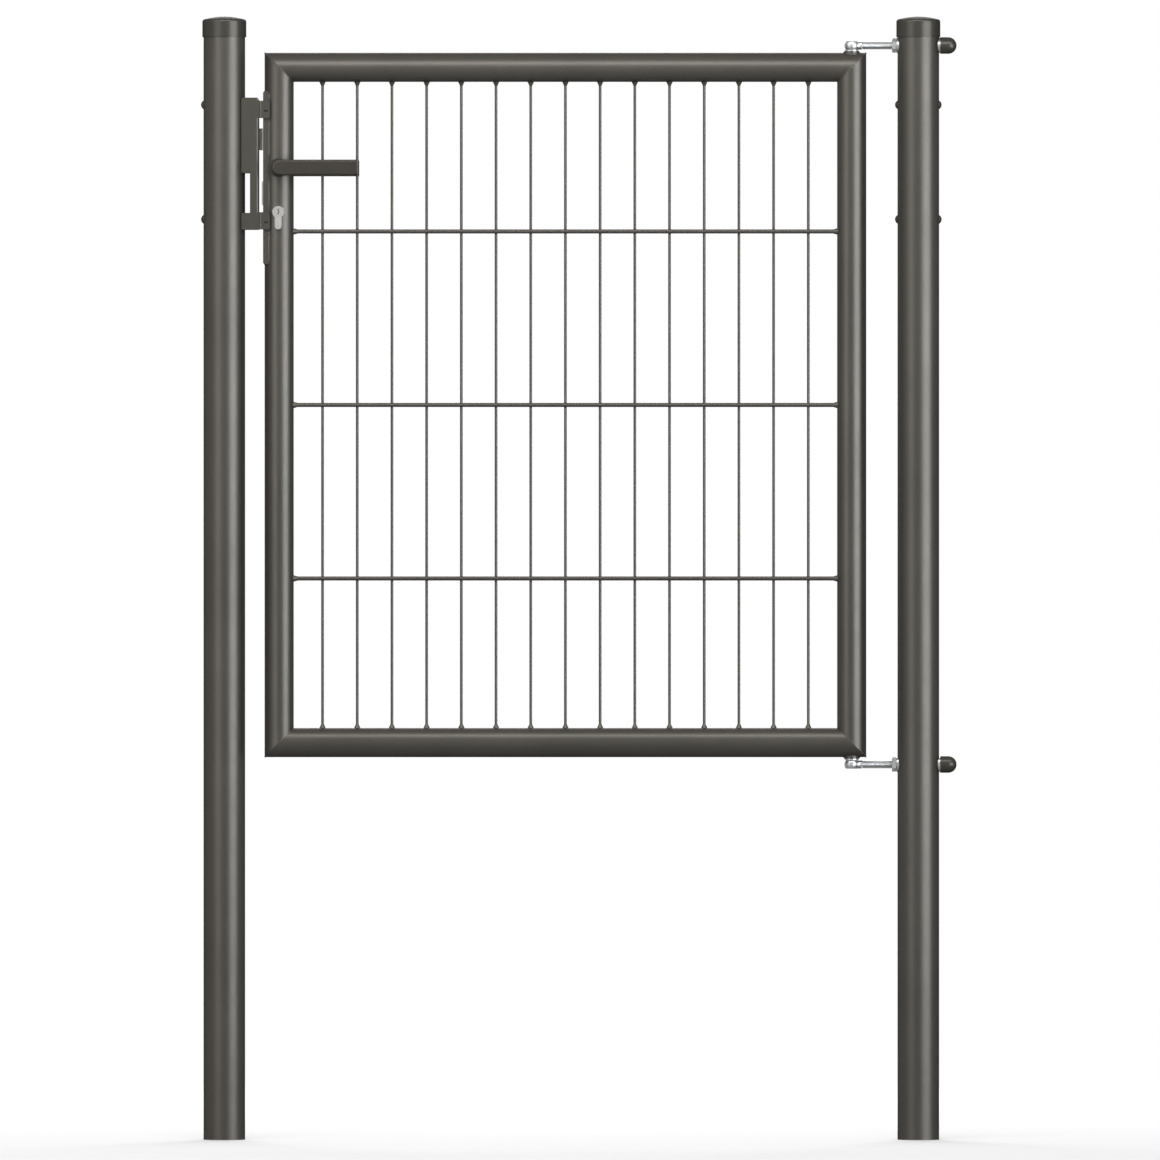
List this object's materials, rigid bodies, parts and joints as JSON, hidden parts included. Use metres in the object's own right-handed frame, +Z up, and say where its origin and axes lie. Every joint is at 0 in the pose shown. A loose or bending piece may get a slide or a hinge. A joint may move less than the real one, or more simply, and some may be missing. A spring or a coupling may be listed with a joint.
{
  "type": "wire panel gate with two posts",
  "caption": "Single-leaf garden gate: mitred round-tube frame with a welded wire panel, hung between two round posts, with lock, levers and strike.",
  "frame": {"origin": "centre of the hinge post's foot, at the level where the posts meet the ground", "axes": "+Z up; +X from the lock post towards the hinge post; -Y is the front, with the stop lugs, and the leaf opens towards +Y"},
  "size_m": [1.0887, 0.09, 1.6181],
  "materials": {
    "paint": "fine-textured warm dark grey powder coat with a metallic sheen",
    "lever_paint": "satin dark grey powder coat on a cast handle",
    "cap_plastic": "dark grey moulded plastic to match the paint",
    "zinc": "bright zinc plating",
    "stainless": "brushed stainless steel",
    "latch_steel": "satin nickel-plated steel",
    "nickel": "satin nickel",
    "rubber": "black rubber"
  },
  "bodies": {
    "posts": {"hinge_post": "paint", "lock_post": "paint", "hinge_post_cap": "cap_plastic", "lock_post_cap": "cap_plastic", "hinge_post_plugs": "cap_plastic", "strike_sleeve_nuts": "cap_plastic", "lower_hinge_eyebolt": "zinc", "upper_hinge_eyebolt": "zinc", "lower_hinge_jam_nut": "zinc", "upper_hinge_jam_nut": "zinc", "lower_hinge_end_nut": "zinc", "upper_hinge_end_nut": "zinc", "lower_inner_saddle_washer": "zinc", "upper_inner_saddle_washer": "zinc", "lower_outer_saddle_washer": "zinc", "upper_outer_saddle_washer": "zinc", "lower_hinge_nut_cap": "cap_plastic", "upper_hinge_nut_cap": "cap_plastic", "strike_plate": "paint", "strike_screws": "zinc", "lower_stop_buffer": "rubber", "upper_stop_buffer": "rubber"},
    "leaf": {"hinge_stile": "paint", "lock_stile": "paint", "top_rail": "paint", "bottom_rail": "paint", "wire_panel": "paint", "lower_hinge_pin": "paint", "upper_hinge_pin": "paint", "lower_hinge_washer": "zinc", "upper_hinge_washer": "zinc", "lock_box": "paint", "forend_plate": "stainless", "forend_screws": "stainless", "lock_case": "zinc", "profile_cylinder": "nickel", "front_rose": "lever_paint", "back_rose": "lever_paint"},
    "lever": {"front_lever": "lever_paint", "back_lever": "lever_paint", "spindle": "zinc", "follower": "zinc"},
    "latch": {"latch_bolt": "latch_steel"},
    "deadbolt": {"deadbolt": "latch_steel"},
    "key_plug": {"cylinder_plug": "nickel"}
  },
  "joints": [
    {"name": "leaf_swing", "type": "hinge", "parent": "posts", "child": "leaf", "pos_m": [-0.096, 0, 0.55], "axis": [0, 0, -1], "range_deg": [0, 140]},
    {"name": "lever_turn", "type": "hinge", "parent": "leaf", "child": "lever", "pos_m": [-0.922, 0, 1.4], "axis": [0, 1, 0], "range_deg": [0, 40], "stiffness_Nm_per_rad": 1.5, "springref_deg": -34.38},
    {"name": "latch_slide", "type": "slide", "parent": "leaf", "child": "latch", "axis": [1, 0, 0], "range_m": [0, 0.012]},
    {"name": "key_turn", "type": "hinge", "parent": "leaf", "child": "key_plug", "pos_m": [-0.922, 0, 1.3362], "axis": [0, 1, 0], "range_deg": [0, 360]},
    {"name": "deadbolt_throw", "type": "slide", "parent": "leaf", "child": "deadbolt", "axis": [-1, 0, 0], "range_m": [0, 0.014]}
  ],
  "couplings": [
    {"joint": "latch_slide", "follows": "lever_turn", "m_per_rad": 0.0171},
    {"joint": "key_turn", "follows": "deadbolt_throw", "rad_per_m": 445}
  ]
}
